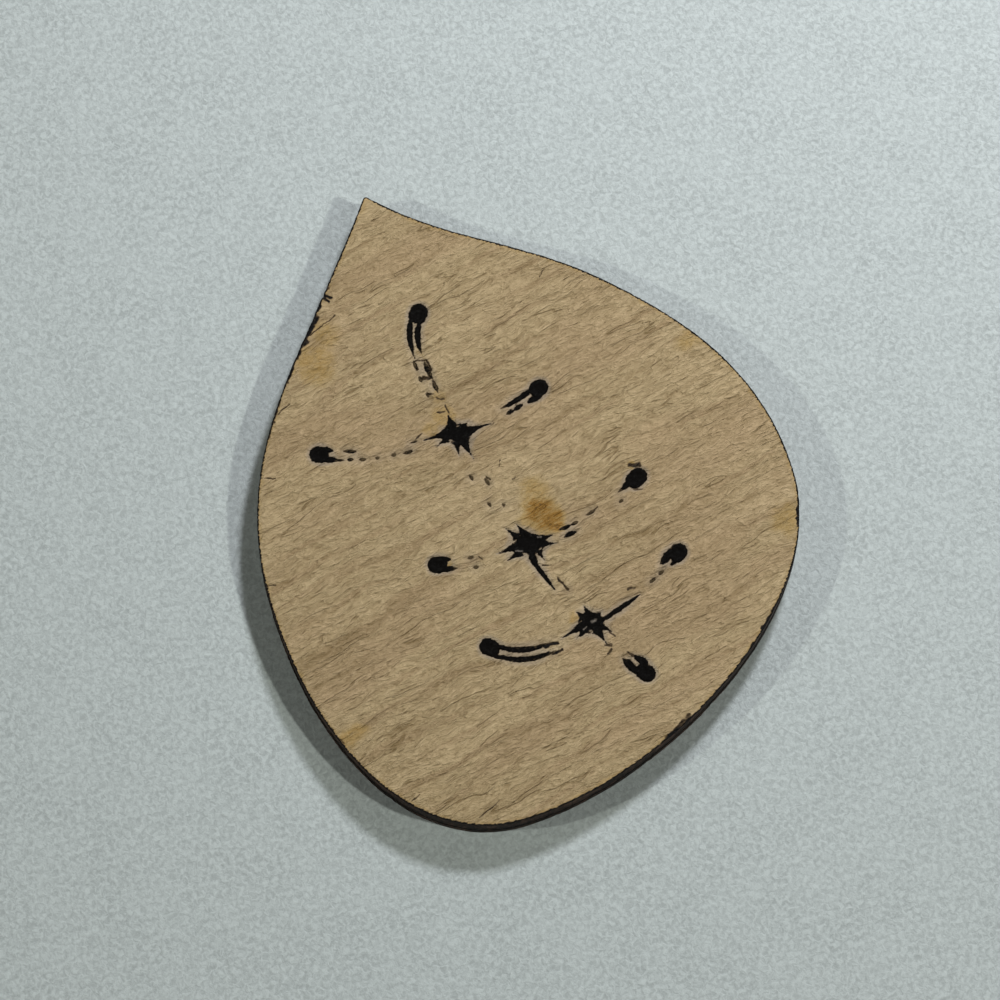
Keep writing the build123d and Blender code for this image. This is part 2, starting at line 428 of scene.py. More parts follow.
class Fields:
    """The distance grids, worked out once: to the leaf's rim, to each burned mark and to any detail."""

    leaf = signed_distance("back_veneer", top=False)
    burns = {node: signed_distance(node) for node in BURNS}
    marks = np.minimum.reduce(list(burns.values()))
    crossings = np.minimum.reduce([field for node, field in burns.items() if "crossing" in node])
    weight = spread(marks < 0, HEAT_REACH)
    faint = [(start, end) for start, end, *_ in (*SOOT_TOUCHES, *EDGE_BURNS, *EDGE_CHECKS)]
    details = np.minimum(marks, distance_to(faint) - TOUCH_REACH)


# ---------------------------------------------------------------- the cut edge
def leaf_loop(spacing):
    """The outline as evenly spaced points, counter-clockwise, and the way out at each.

    The CAD rim's corners are joined by smooth cubic curves, so that the close-set points stay round.
    """
    corners = np.unique(level_triangles("back_veneer", top=False).reshape(-1, 2).round(4), axis=0)
    corners = corners[np.argsort(np.arctan2(corners[:, 1], corners[:, 0]))]
    ahead = np.roll(corners, -1, axis=0)
    gap = np.linalg.norm(ahead - corners, axis=1)
    slope = (ahead - corners) / gap[:, None]
    slope_behind, gap_behind = np.roll(slope, 1, axis=0), np.roll(gap, 1)
    tangent = (slope_behind * gap[:, None] + slope * gap_behind[:, None]) / (gap + gap_behind)[:, None]
    reached = np.concatenate([[0.0], np.cumsum(gap)])
    count = round(reached[-1] / spacing)
    wanted = np.arange(count) * reached[-1] / count
    piece = np.searchsorted(reached, wanted, side="right") - 1
    t = ((wanted - reached[piece]) / gap[piece])[:, None]
    following = (piece + 1) % len(corners)
    stretch = gap[piece][:, None]
    loop = (
        (2 * t**3 - 3 * t**2 + 1) * corners[piece]
        + (t**3 - 2 * t**2 + t) * stretch * tangent[piece]
        + (3 * t**2 - 2 * t**3) * corners[following]
        + (t**3 - t**2) * stretch * tangent[following]
    )
    along = np.roll(loop, -1, axis=0) - np.roll(loop, 1, axis=0)
    out = np.stack([along[:, 1], -along[:, 0]], axis=1)
    return loop, out / np.linalg.norm(out, axis=1)[:, None]


def cut_edge(loop, out, height, recess):
    """The outline at one height: tapered by the kerf, rippled by the beam and chipped where it burned."""
    taper = size("leaf_board", "kerf_taper") * (0.5 - height / FACE_TOP)
    slant = loop + 0.06 * height
    ripple = size("leaf_board", "scallops") * (
        0.6 * speckle(slant, 0.17, 0.17, 5) + 0.4 * speckle(slant, 0.09, 0.09, 6)
    )
    slow = 0.02 * speckle(loop + 0.3 * height, 1.6, 1.6, 8)
    pits = 0.03 * smooth(speckle(loop + 0.7 * height, 0.45, 0.45, 9), 0.45, 0.9)
    bites = sum(0.16 * reach * touch(loop, start, end, 0.8) for start, end, reach in EDGE_BURNS)
    bites = bites + 0.16 * touch(loop, *EDGE_NOTCH, 0.3)
    bites = bites * (0.6 + 0.4 * speckle(loop, 0.5, 0.5, 12)) * smooth(height, FACE_TOP - 1.2, FACE_TOP)
    checks = sum(0.08 * touch(loop, start, end, 0.1) for start, end in EDGE_CHECKS)
    reach = taper + ripple + slow - pits - recess - bites - checks
    return loop + out * reach[:, None]


# ---------------------------------------------------------------- heights
def wood_relief(points, seed):
    """Height of the fibres over a flat veneer."""
    waved = wander(points, 2.2, 0.12, seed + 3)
    strands = fibres(waved, 1.3, 0.34, seed)
    pores = smooth(speckle(waved, 2.6, 0.2, seed + 11), 0.5, 0.85)
    swell = speckle(points, 6.0, 2.2, seed + 13)
    return size("leaf_board", "relief") * (strands + 0.5 * swell - 1.3 * pores)


def heaviness(points):
    """How heavily each place is burned, from 0 to 1: a crossing is heavy right out to its tips."""
    crossing = 0.42 * smooth(sample(Fields.crossings, points), 0.1, 0.0)
    return np.maximum(sample(Fields.weight, points), crossing)


def bleed(points):
    """How far the char spreads past its groove: twin strokes grow, but heads and crossings draw in."""
    weight = sample(Fields.weight, points)
    crossing = sample(Fields.crossings, points)
    grown = 0.07 * smooth(weight, 0.14, 0.24) * smooth(weight, 0.56, 0.44) * smooth(crossing, 0.3, 0.9)
    thinned = 0.06 * smooth(crossing, 0.0, 0.25) * smooth(crossing, 1.6, 0.9) * smooth(weight, 0.26, 0.18)
    head = 0.025 * smooth(weight, 0.42, 0.5)
    crook = 0.25 * smooth(weight, 0.55, 0.78) * smooth(crossing, 0.1, 0.0)
    return grown - thinned - head - crook


def face_height(points):
    """Height of the veneered face: fibres, dips round the marks, edge wear and small cracks."""
    mark = sample(Fields.marks, points) - bleed(points)
    edge = -sample(Fields.leaf, points)
    hollow = size("leaf_burn", "hollow")
    dip = hollow * smooth(mark, 0.32, 0.0) + 0.2 * smooth(mark, 0.03, -0.12)
    lip = 0.012 * smooth(mark, 0.65, 0.4) * smooth(mark, 0.2, 0.4)
    wear = 0.03 * smooth(edge, 0.22, 0.0) * (1 + speckle(points, 0.5, 0.3, 21)) + 0.05 * edge_burn(points)
    torn = ragged(points)
    pits = sum(0.035 * strength * touch(torn, a, b, width) for a, b, width, strength in SOOT_TOUCHES)
    depth = size("leaf_board", "check_depth")
    checks = sum(depth * touch(torn, start, end, 0.07) for start, end in EDGE_CHECKS)
    return FACE_TOP + wood_relief(points, 101) - dip + lip - wear - pits - checks


def back_height(points):
    """Height of the back: nearly flat, with fibres that only reach inwards, so that the leaf lies still."""
    edge = -sample(Fields.leaf, points)
    fibre = wood_relief(points, 301) + 2 * size("leaf_board", "relief")
    return np.maximum(fibre, 0.0) + 0.03 * smooth(edge, 0.2, 0.0)


def char_height(points, own, mark):
    """Height of the char: a cracked crust, hollow in wide pools, that dives under the face at its rim."""
    crust = size("leaf_burn", "crust")
    tear = size("leaf_burn", "ragged")
    blisters = fibres(points, 0.34, 0.26, 401) + 0.6 * np.abs(speckle(points, 0.22, 0.16, 405))
    cracks = smooth(np.abs(fibres(points, 0.5, 0.4, 409)), 0.12, 0.0)
    pool = 0.07 * smooth(mark, -0.12, -0.5)
    torn = speckle(points, 0.3, 0.14, 411) + 0.5 * speckle(points, 0.12, 0.09, 413)
    rim = own - bleed(points) + tear * torn
    return FACE_TOP - BURN_SINK + crust * (blisters - cracks) - pool - 0.4 * smooth(rim, -0.03, 0.07)


# ---------------------------------------------------------------- meshes
# Spacings and reaches in millimetres. Points keep RIM_ROOM of their own spacing clear of the outline.
# On the map, the flat side takes FLAT_SHARE of the width, and the cut edge lies in lanes beside it.
LOOP_SPACING = 0.13
DETAIL_REACH = 0.28
RIM_ROOM = 0.6
CHAR_REACH = 0.16
BACK_SPACING = 0.26
GLUE_RECESS = 0.05
SHARP_EDGE = math.radians(55)
UV_LANES = 6
UV_MARGIN = 0.2
FLAT_SHARE = 0.86


def lattice(spacing):
    """Staggered points over the whole leaf."""
    row = spacing * math.sqrt(3) / 2
    columns = np.arange(LOW.x, HIGH.x, spacing)
    rows = np.arange(LOW.y, HIGH.y, row)
    x, y = np.meshgrid(columns, rows)
    x = x + spacing / 2 * (np.arange(len(rows)) % 2)[:, None]
    return np.stack([x.ravel(), y.ravel()], axis=1)


def inner_points(spacing, detail=None):
    """Points inside the outline, closer together beside the marks if a detail spacing is given."""
    coarse = lattice(spacing)
    coarse = coarse[sample(Fields.leaf, coarse) < -RIM_ROOM * spacing]
    if detail is None:
        return coarse
    coarse = coarse[sample(Fields.details, coarse) > DETAIL_REACH]
    fine = lattice(detail)
    fine = fine[sample(Fields.details, fine) <= DETAIL_REACH - 0.5 * detail]
    fine = fine[sample(Fields.leaf, fine) < -RIM_ROOM * detail]
    return np.vstack([coarse, fine])


def cover(loop, points):
    """Triangles over a loop and the points inside it, as rows of three indexes."""
    corners = [Vector(corner) for corner in np.vstack([loop, points])]
    ring = list(range(len(loop)))
    kept, _, triangles, *_ = geometry.delaunay_2d_cdt(corners, [], [ring], 1, 1e-7)
    if len(kept) != len(corners):
        raise RuntimeError("two points of a veneer fall together")
    return np.array(triangles)


def wall(rows, count):
    """Quads between stacked loops, as rows of four indexes."""
    here = np.arange(count)
    after = (here + 1) % count
    band = np.stack([here, after, after + count, here + count], axis=1)
    return np.vstack([band + row * count for row in range(rows - 1)])


def add_mesh(name, places, faces, materials, slots, node):
    """A piece on the root body that stands for a CAD node. Slots gives each face's material."""
    mesh = bpy.data.meshes.new(name)
    mesh.from_pydata((places * MM).tolist(), [], faces)
    mesh.polygons.foreach_set("material_index", np.asarray(slots, np.int32))
    mesh.polygons.foreach_set("use_smooth", np.ones(len(faces), bool))
    for material in materials:
        mesh.materials.append(material)
    mesh.update()
    mesh.set_sharp_from_angle(angle=SHARP_EDGE)
    piece = bpy.data.objects.new(name, mesh)
    bpy.context.scene.collection.objects.link(piece)
    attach(piece, "root")
    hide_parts(node)
    return piece


def give(mesh, name, values):
    """A value for each vertex, which materials read by name."""
    mesh.attributes.new(name, "FLOAT", "POINT").data.foreach_set("value", values.astype(np.float32))


def unwrap(mesh, loop, levels, flat_share):
    """A map that lays the flat side out as seen from above and the cut edge in lanes beside it."""
    count = len(loop)
    wall_faces = count * (len(levels) - 1)
    lane_width = (1 - flat_share) / UV_LANES
    lane_run = math.ceil(count / UV_LANES)
    vertices = np.empty(len(mesh.loops), np.int32)
    mesh.loops.foreach_get("vertex_index", vertices)
    places = np.empty(len(mesh.vertices) * 3, np.float32)
    mesh.vertices.foreach_get("co", places)
    places = places.reshape(-1, 3)[vertices] / MM
    tall = HIGH.y - LOW.y + 2 * UV_MARGIN
    wide = HIGH.x - LOW.x + 2 * UV_MARGIN
    flat_width = flat_share if flat_share > 0 else 1.0
    shrink = min(1.0, flat_width * tall / wide) / tall
    flat = (places[:, :2] - (LOW.x - UV_MARGIN, LOW.y - UV_MARGIN)) * shrink
    corners = wall_faces * 4
    rows, columns = np.divmod(vertices[:corners].reshape(-1, 4), count)
    first = columns[:, :1]
    columns = np.where(columns < first, columns + count, columns)
    lane = first // lane_run
    heights = np.array(levels)
    rise = (heights[rows] - heights[0]) / (heights[-1] - heights[0])
    u = flat_share + (lane + 0.1 + 0.8 * rise) * lane_width
    v = 0.005 + 0.99 * (columns - lane * lane_run) / (lane_run + 1)
    flat[:corners] = np.stack([u.ravel(), v.ravel()], axis=1)
    mesh.uv_layers.new(name="OFBake").uv.foreach_set("vector", flat.astype(np.float32).ravel())


def add_ply(name, node, materials, levels, recess, top=None, bottom=None, points=None):
    """One layer of the board. Top and bottom are height functions for a side that shows, and points
    are the places inside the outline where that side is worked in detail."""
    loop, out = leaf_loop(LOOP_SPACING)
    count = len(loop)
    rings = [cut_edge(loop, out, height, recess) for height in levels]
    heights = [np.full(count, height) for height in levels]
    none = np.empty((0, 2))
    inside = none if points is None else points
    if top is not None:
        heights[-1] = np.minimum(top(rings[-1]), levels[-1])
    if bottom is not None:
        heights[0] = np.maximum(bottom(rings[0]), levels[0])
    shown_height = top or bottom
    inner_height = np.empty(0) if shown_height is None else shown_height(inside)
    edge = np.vstack([np.column_stack(pair) for pair in zip(rings, heights)])
    places = np.vstack([edge, np.column_stack([inside, inner_height])])
    sides = wall(len(levels), count)

    def side_faces(ring, offset, shown):
        """Triangles over a ring, numbered as the mesh numbers them; offset is the ring's first point."""
        triangles = cover(ring, inside if shown else none)
        return np.where(triangles < count, triangles + offset, triangles - count + len(edge))

    upper = side_faces(rings[-1], (len(levels) - 1) * count, top is not None)
    lower = side_faces(rings[0], 0, bottom is not None)[:, ::-1]
    faces = sides.tolist() + upper.tolist() + lower.tolist()
    flat_slot = len(materials) - 1
    slots = np.concatenate([np.zeros(len(sides)), np.full(len(upper) + len(lower), flat_slot)])
    piece = add_mesh(name, places, faces, materials, slots, node)
    plan = places[:, :2]
    inwards = -sample(Fields.leaf, plan)
    inwards[: len(edge)] = 0.0
    give(piece.data, "mark_distance", sample(Fields.marks, plan) - bleed(plan))
    give(piece.data, "edge_distance", inwards)
    unwrap(piece.data, loop, levels, FLAT_SHARE if points is not None else 0.0)
    return piece, plan


def add_char(node):
    """The burned wood of one node: a crust on a fine net, closed by a rim and a flat floor."""
    own = Fields.burns[node]
    keep = own < CHAR_REACH
    cells = keep[:-1, :-1] & keep[1:, :-1] & keep[1:, 1:] & keep[:-1, 1:]
    i, j = np.nonzero(cells)
    row = GRID_SIZE[1]
    first = i * row + j
    corners = np.stack([first, first + row, first + row + 1, first + 1], axis=1)
    used, quads = np.unique(corners, return_inverse=True)
    quads = quads.reshape(-1, 4)
    points = GRID.reshape(-1, 2)[used]
    starts, ends = quads.ravel(), np.roll(quads, -1, axis=1).ravel()
    total = len(points)
    lone = ~np.isin(starts * total + ends, ends * total + starts)
    starts, ends = starts[lone], ends[lone]
    rim = np.unique(starts)
    points[rim] = pull_to_rim(points[rim], own, CHAR_REACH)
    height = char_height(points, sample(own, points), sample(Fields.marks, points))
    crust = np.column_stack([points, np.maximum(height, BURN_FLOOR + 0.02)])
    bed = np.column_stack([points, np.full(total, BURN_FLOOR)])
    skirt = np.stack([ends, starts, starts + total, ends + total], axis=1)
    places = np.vstack([crust, bed])
    faces = np.vstack([quads, quads[:, ::-1] + total, skirt])
    name = node.replace("_burn", "_char")
    piece = add_mesh(name, places, faces.tolist(), [char_material()], np.zeros(len(faces)), node)
    plan = places[:, :2]
    ash = np.maximum.reduce([touch(ragged(plan), a, b, width) for a, b, width in ASH_TOUCHES])
    give(piece.data, "ash", ash)
    give(piece.data, "weight", heaviness(plan))


def pull_to_rim(points, distance, reach):
    """Moves stepped rim points onto the line at one distance from a mark."""
    step = 0.5 * GRID_STEP
    for _ in range(2):
        here = sample(distance, points)
        slope = np.stack(
            [sample(distance, points + (step, 0)) - sample(distance, points - (step, 0)),
             sample(distance, points + (0, step)) - sample(distance, points - (0, step))], axis=1
        ) / (2 * step)
        steep = np.maximum((slope**2).sum(axis=1), 0.5)
        move = np.clip((here - reach) / steep, -GRID_STEP, GRID_STEP)
        points = points - slope * move[:, None]
    return points


# ---------------------------------------------------------------- node trees
class Tree:
    """Adds nodes to one node tree and links them."""

    def __init__(self, tree):
        """Works on one node tree, of a material or of a group."""
        self.tree = tree

    def add(self, kind, inputs, output=0, **settings):
        """A node with its inputs fed, by name or number; returns one of its outputs."""
        node = self.tree.nodes.new(kind)
        for name, value in settings.items():
            setattr(node, name, value)
        self.feed(node, inputs)
        return node.outputs[output]

    def feed(self, node, inputs):
        """Links each input that is a socket, and sets each one that is a value."""
        for socket, value in inputs.items():
            if isinstance(value, bpy.types.NodeSocket):
                self.tree.links.new(value, node.inputs[socket])
            else:
                node.inputs[socket].default_value = value

    def math(self, operation, a, b=0.0):
        """One sum of two numbers."""
        return self.add("ShaderNodeMath", {0: a, 1: b}, operation=operation)

    def plus(self, a, b):
        """a and b together."""
        return self.math("ADD", a, b)

    def less(self, a, b):
        """a without b."""
        return self.math("SUBTRACT", a, b)

    def times(self, a, b):
        """a multiplied by b."""
        return self.math("MULTIPLY", a, b)

    def most(self, a, b):
        """The greater of a and b."""
        return self.math("MAXIMUM", a, b)

    def step(self, value, low, high, low_value=0.0, high_value=1.0):
        """A soft step from low_value to high_value while a value goes from low to high."""
        if low > high:
            low, high, low_value, high_value = high, low, high_value, low_value
        return self.add(
            "ShaderNodeMapRange",
            {"Value": value, "From Min": low, "From Max": high, "To Min": low_value, "To Max": high_value},
            interpolation_type="SMOOTHSTEP",
        )

    def mix(self, amount, a, b):
        """Colour a turning into colour b."""
        return self.add("ShaderNodeMix", {0: amount, 6: a, 7: b}, 2, data_type="RGBA")

    def scaled(self, vector, x, y, z):
        """A vector with each part multiplied."""
        return self.add("ShaderNodeVectorMath", {0: vector, 1: (x, y, z)}, operation="MULTIPLY")

    def noise(self, vector, detail=2.0, roughness=0.5, distortion=0.0):
        """Noise from 0 to 1, mostly near 0.5, with blobs about 1 wide."""
        grit = {"Detail": detail, "Roughness": roughness, "Distortion": distortion}
        return self.add("ShaderNodeTexNoise", {"Vector": vector, "Scale": 1.0, **grit})

    def swing(self, vector, *grit):
        """The same noise, from -0.5 to 0.5."""
        return self.less(self.noise(vector, *grit), 0.5)

    def attribute(self, name):
        """A number that the mesh carries at each point."""
        return self.add("ShaderNodeAttribute", {}, 2, attribute_name=name)

    def group(self, tree, inputs):
        """A placed group; returns its outputs by name."""
        node = self.tree.nodes.new("ShaderNodeGroup")
        node.node_tree = tree
        self.feed(node, inputs)
        return node.outputs

    def give(self, outputs, sockets):
        """Feeds a group's named outputs."""
        for name, socket in sockets.items():
            self.tree.links.new(socket, outputs[name])

    def grain_place(self):
        """Object coordinates in millimetres, turned so that X runs along the grain."""
        place = self.add("ShaderNodeTexCoord", {}, "Object")
        heading = turn("leaf_board", "grain_heading")
        return self.add(
            "ShaderNodeMapping", {"Vector": place, "Rotation": (0.0, 0.0, -heading), "Scale": (1 / MM,) * 3}
        )


KINDS = {"value": "NodeSocketFloat", "colour": "NodeSocketColor", "vector": "NodeSocketVector"}


def new_group(name, takes, gives):
    """An empty group with named sockets; returns its tree helper, what it takes and what it gives."""
    found = bpy.data.node_groups.new(name, "ShaderNodeTree")
    for direction, sockets in (("INPUT", takes), ("OUTPUT", gives)):
        for label, kind in sockets.items():
            found.interface.new_socket(label, in_out=direction, socket_type=KINDS[kind])
    inputs = found.nodes.new("NodeGroupInput").outputs
    return Tree(found), inputs, found.nodes.new("NodeGroupOutput").inputs


def once(make):
    """Keeps what a maker of materials or groups made, so that each is built one time."""
    made = {}

    def keeper(*words):
        """Makes a thing the first time that it is asked for, and hands out the same one after that."""
        if words not in made:
            made[words] = make(*words)
        return made[words]

    return keeper


@once
def grain_group():
    """Bands, year lines, strands and pores of a sliced veneer. Strands, hairs, pores and seams darken the
    colour where they sink the bump, so their dark is partly the wood's own tone and partly painted shade in
    the low places.
    """
    tree, takes, gives = new_group(
        "Veneer grain",
        {"Place": "vector", "Pale": "colour", "Dark": "colour", "Rose": "colour",
         "Strand tone and shade": "value", "Band contrast": "value", "Year strength": "value",
         "Pore tone and shade": "value"},
        {"Color": "colour", "Height": "value"},
    )
    place = takes["Place"]
    slow = tree.scaled(place, 0.3, 0.4, 0.4)
    sway = tree.add("ShaderNodeTexNoise", {"Vector": slow, "Scale": 1.0, "Detail": 2.0}, 1)
    sway = tree.add("ShaderNodeVectorMath", {0: sway, 1: (0.5, 0.5, 0.5)}, operation="SUBTRACT")
    reach = (1.4, 1.0, 0.0)
    place = tree.add("ShaderNodeVectorMath", {0: sway, 1: reach, 2: place}, operation="MULTIPLY_ADD")
    strands = tree.swing(tree.scaled(place, 1.0, 3.0, 3.0), 2.0, 0.55, 0.8)
    hairs = tree.swing(tree.scaled(place, 2.8, 7.0, 7.0), 2.0, 0.6, 0.8)
    bands = tree.swing(tree.scaled(place, 0.07, 0.42, 0.42), 2.0, 0.5, 0.1)
    blush = tree.step(tree.noise(tree.scaled(place, 0.08, 0.24, 0.24), 1.0, 0.5), 0.45, 0.68, 0.0, 0.7)
    apart = tree.add("ShaderNodeSeparateXYZ", {"Vector": tree.scaled(place, 1.0, 3.4, 1.0)}, "Y")
    drift = tree.times(tree.noise(tree.scaled(place, 0.045, 0.2, 0.2), 2.0, 0.5), 16.0)
    years = tree.step(tree.math("SINE", tree.plus(apart, drift)), 0.3, 1.0)
    worn = tree.step(tree.noise(tree.scaled(place, 0.12, 0.5, 0.5), 2.0, 0.5), 0.38, 0.62, 0.1, 1.0)
    years = tree.times(years, worn)
    pores = tree.step(tree.noise(tree.scaled(place, 0.6, 4.4, 4.4), 1.0, 0.4, 0.3), 0.64, 0.78, 0.0, 0.7)
    seam = tree.swing(tree.scaled(place, 0.12, 0.95, 0.95), 2.0, 0.45, 0.2)
    seam = tree.step(tree.math("ABSOLUTE", seam), 0.02, 0.004)
    broken = tree.step(tree.noise(tree.scaled(place, 0.25, 0.6, 0.6), 1.0), 0.5, 0.62)
    seam = tree.times(seam, broken)
    # Painted shade: strands and hairs darken the colour just where the bump below sinks, on top of the wood's
    # own tone.
    tone = tree.plus(strands, tree.times(hairs, 0.7))
    tone = tree.times(tone, takes["Strand tone and shade"])
    tone = tree.plus(tone, tree.times(bands, takes["Band contrast"]))
    tone = tree.plus(tone, tree.times(years, takes["Year strength"]))
    # Pores and seams are darkened as well as sunk: partly their own dark, partly painted shade in the pits.
    lines = tree.times(tree.most(pores, seam), takes["Pore tone and shade"])
    total = tree.add("ShaderNodeClamp", {"Value": tree.plus(tree.plus(tone, lines), 0.39)})
    rosy = tree.most(blush, tree.times(years, 0.8))
    pale = tree.mix(rosy, takes["Pale"], takes["Rose"])
    wood = tree.mix(total, pale, takes["Dark"])
    height = tree.plus(strands, tree.times(hairs, 0.55))
    height = tree.plus(height, tree.times(tree.most(pores, seam), 0.3))
    tree.give(gives, {"Color": wood, "Height": tree.times(height, -1.0)})
    return tree.tree


@once
def toast_group():
    """Wood browned by heat through honey and amber to umber, then blackened where soot lies."""
    tree, takes, gives = new_group(
        "Toasted wood", {"Color": "colour", "Heat": "value", "Soot": "value"}, {"Color": "colour"}
    )
    heat, soot = takes["Heat"], takes["Soot"]
    tone = tree.mix(tree.step(heat, 0.0, 0.3, 0.0, 0.75), takes["Color"], finish("honey"))
    tone = tree.mix(tree.step(heat, 0.22, 0.6), tone, finish("amber"))
    tone = tree.mix(tree.step(heat, 0.5, 0.9), tone, finish("umber"))
    tone = tree.mix(tree.step(soot, 0.05, 0.5), tone, finish("umber"))
    tone = tree.mix(tree.step(soot, 0.45, 0.9), tone, finish("soot"))
    tree.give(gives, {"Color": tone})
    return tree.tree


@once
def crust_group():
    """Cracked, blistered char with a grey bloom."""
    tree, takes, gives = new_group(
        "Char crust",
        {"Place": "vector", "Dark": "colour", "Bloom": "colour", "Bloom amount": "value"},
        {"Color": "colour", "Roughness": "value", "Height": "value"},
    )
    place = takes["Place"]
    coarse = tree.noise(tree.scaled(place, 3.0, 4.5, 4.0), 3.0, 0.6, 0.4)
    fine = tree.noise(tree.scaled(place, 14.0, 20.0, 16.0), 2.0, 0.5)
    cells = tree.add(
        "ShaderNodeTexVoronoi", {"Vector": tree.scaled(place, 4.0, 6.5, 5.0), "Scale": 1.0},
        feature="DISTANCE_TO_EDGE",
    )
    cracks = tree.step(cells, 0.07, 0.0)
    amount = tree.times(tree.step(coarse, 0.5, 0.72), takes["Bloom amount"])
    char = tree.mix(amount, takes["Dark"], takes["Bloom"])
    roughness = tree.step(fine, 0.3, 0.7, 0.55, 0.8)
    height = tree.plus(coarse, tree.times(fine, 0.35))
    height = tree.less(height, tree.times(cracks, 0.6))
    tree.give(gives, {"Color": char, "Roughness": roughness, "Height": height})
    return tree.tree


@once
def beam_group():
    """Upright ripples and burn blotches that a pulsing beam leaves on a cut edge."""
    tree, takes, gives = new_group(
        "Beam ripples", {"Place": "vector"}, {"Ripple": "value", "Blotch": "value"}
    )
    ripple = tree.noise(tree.scaled(takes["Place"], 5.5, 5.5, 0.35), 2.0, 0.6, 0.1)
    blotch = tree.noise(tree.scaled(takes["Place"], 0.5, 0.5, 0.9), 3.0, 0.6, 0.3)
    tree.give(gives, {"Ripple": ripple, "Blotch": blotch})
    return tree.tree


def new_material(name):
    """A material with an empty Principled BSDF; returns it with its tree helper and shader."""
    material = bpy.data.materials.new(name)
    material.use_nodes = True
    return material, Tree(material.node_tree), material.node_tree.nodes["Principled BSDF"]


def dress(tree, shader, base, roughness, height, bump_distance, shine):
    """Feeds a shader its colour, roughness, relief and shine. Bump distance is in millimetres."""
    bump = tree.add("ShaderNodeBump", {"Height": height, "Distance": bump_distance * MM, "Strength": 1.0})
    tree.feed(
        shader, {"Base Color": base, "Roughness": roughness, "Normal": bump, "Specular IOR Level": shine}
    )


def veneer_grain(tree, place):
    """The face and back veneer's grain, with this board's colours."""
    return tree.group(
        grain_group(),
        {"Place": place, "Pale": finish("pale_wood"), "Dark": finish("dark_wood_and_shade"),
         "Rose": finish("rose_wood"), "Strand tone and shade": 1.25, "Band contrast": 0.6, "Year strength": 0.17,
         "Pore tone and shade": 0.38},
    )


@once
def face_material():
    """The bare face: grain with painted shade in its low fibres and pores, heat stains, bleached halos,
    scorching at the marks and the edge, and painted shade in the edge checks.
    """
    material, tree, shader = new_material("Bare face veneer")
    place = tree.grain_place()
    grain = veneer_grain(tree, place)
    torn = tree.swing(tree.scaled(place, 2.4, 6.0, 4.0), 3.0, 0.6)
    soft = tree.swing(tree.scaled(place, 0.8, 1.4, 1.0), 3.0, 0.6)
    mark = tree.attribute("mark_distance")
    edge = tree.attribute("edge_distance")
    halo = size("leaf_burn", "halo")
    near = tree.plus(mark, tree.times(soft, 0.5))
    heavy = tree.step(tree.attribute("weight"), 0.03, 0.3, 0.12, 0.5)
    pale = tree.times(tree.step(near, halo, 0.05), heavy)
    base = tree.mix(pale, grain["Color"], finish("bleached"))
    patchy = tree.plus(1.0, tree.times(tree.plus(soft, torn), 1.7))
    stain = tree.times(tree.attribute("stain"), patchy)
    tan = tree.step(tree.plus(edge, tree.times(soft, 1.0)), 0.5, 0.0, 0.0, 0.2)
    flecked = tree.plus(1.0, tree.times(torn, 1.8))
    # The soot attribute holds real scorch and also the painted shade in the edge checks.
    soot = tree.times(tree.attribute("soot"), flecked)
    rim = tree.step(tree.plus(edge, tree.times(torn, 0.4)), 0.17, 0.07)
    burn = tree.step(tree.plus(mark, tree.times(torn, 0.3)), 0.075, -0.02)
    slight = tree.plus(tree.attribute("weight"), tree.times(torn, 0.25))
    burn = tree.times(burn, tree.step(slight, 0.04, 0.22, 0.3, 1.0))
    soot = tree.most(soot, tree.most(rim, burn))
    between = tree.step(mark, 0.24, 0.08)
    crowded = tree.times(tree.step(tree.attribute("weight"), 0.34, 0.6), between)
    crowded = tree.times(crowded, tree.step(soft, -0.12, 0.12, 0.1, 0.34))
    soot = tree.most(soot, crowded)
    heat = tree.most(stain, tan)
    base = tree.group(toast_group(), {"Color": base, "Heat": heat, "Soot": soot})["Color"]
    dress(tree, shader, base, 0.6, grain["Height"], bump_distance=0.24, shine=0.2)
    return material


@once
def back_material():
    """The back: plainer grain under a brown smoke haze that thickens towards the edge."""
    material, tree, shader = new_material("Smoked back veneer")
    place = tree.grain_place()
    shifted = tree.add("ShaderNodeVectorMath", {0: place, 1: (37.0, 53.0, 0.0)}, operation="ADD")
    # The grain colour carries painted shade in its low fibres and pores.
    grain = veneer_grain(tree, shifted)
    haze = tree.noise(tree.scaled(place, 0.3, 0.5, 0.5), 4.0, 0.6, 0.4)
    edge = tree.attribute("edge_distance")
    reach = tree.plus(edge, tree.times(tree.less(haze, 0.5), 1.6))
    smoke = tree.step(reach, 1.3, -0.1, 0.0, 0.72)
    rim = tree.step(edge, 0.14, 0.04)
    heat = tree.most(smoke, tree.step(haze, 0.55, 0.85, 0.0, 0.2))
    base = tree.group(toast_group(), {"Color": grain["Color"], "Heat": heat, "Soot": rim})["Color"]
    dress(tree, shader, base, 0.62, grain["Height"], bump_distance=0.06, shine=0.2)
    return material


@once
def edge_material(ply):
    """A cut edge: charred by the beam, browner on the outer plies and pitted on the core's end grain."""
    material, tree, shader = new_material(f"Charred {ply} edge")
    place = tree.grain_place()
    beam = tree.group(beam_group(), {"Place": place})
    crust = tree.group(
        crust_group(),
        {"Place": place, "Dark": finish("soot"), "Bloom": finish("edge_brown"), "Bloom amount": 0.8},
    )
    pore_scale = (9.0, 9.0, 9.0) if ply == "core" else (2.0, 2.0, 14.0)
    pores = tree.noise(tree.scaled(place, *pore_scale), 2.0, 0.6)
    brown_from = 0.52 if ply == "core" else 0.40
    brown = tree.step(beam["Blotch"], brown_from, brown_from + 0.25, 0.1, 0.85)
    brown = tree.times(brown, tree.step(beam["Ripple"], 0.3, 0.65, 0.45, 1.0))
    base = tree.mix(brown, crust["Color"], finish("edge_brown"))
    base = tree.mix(tree.step(pores, 0.5, 0.7, 0.0, 0.7), base, finish("soot"))
    height = tree.plus(tree.times(beam["Ripple"], 1.2), tree.times(pores, -0.5))
    height = tree.plus(height, tree.times(crust["Height"], 0.3))
    dress(tree, shader, base, crust["Roughness"], height, bump_distance=0.05, shine=0.12)
    return material


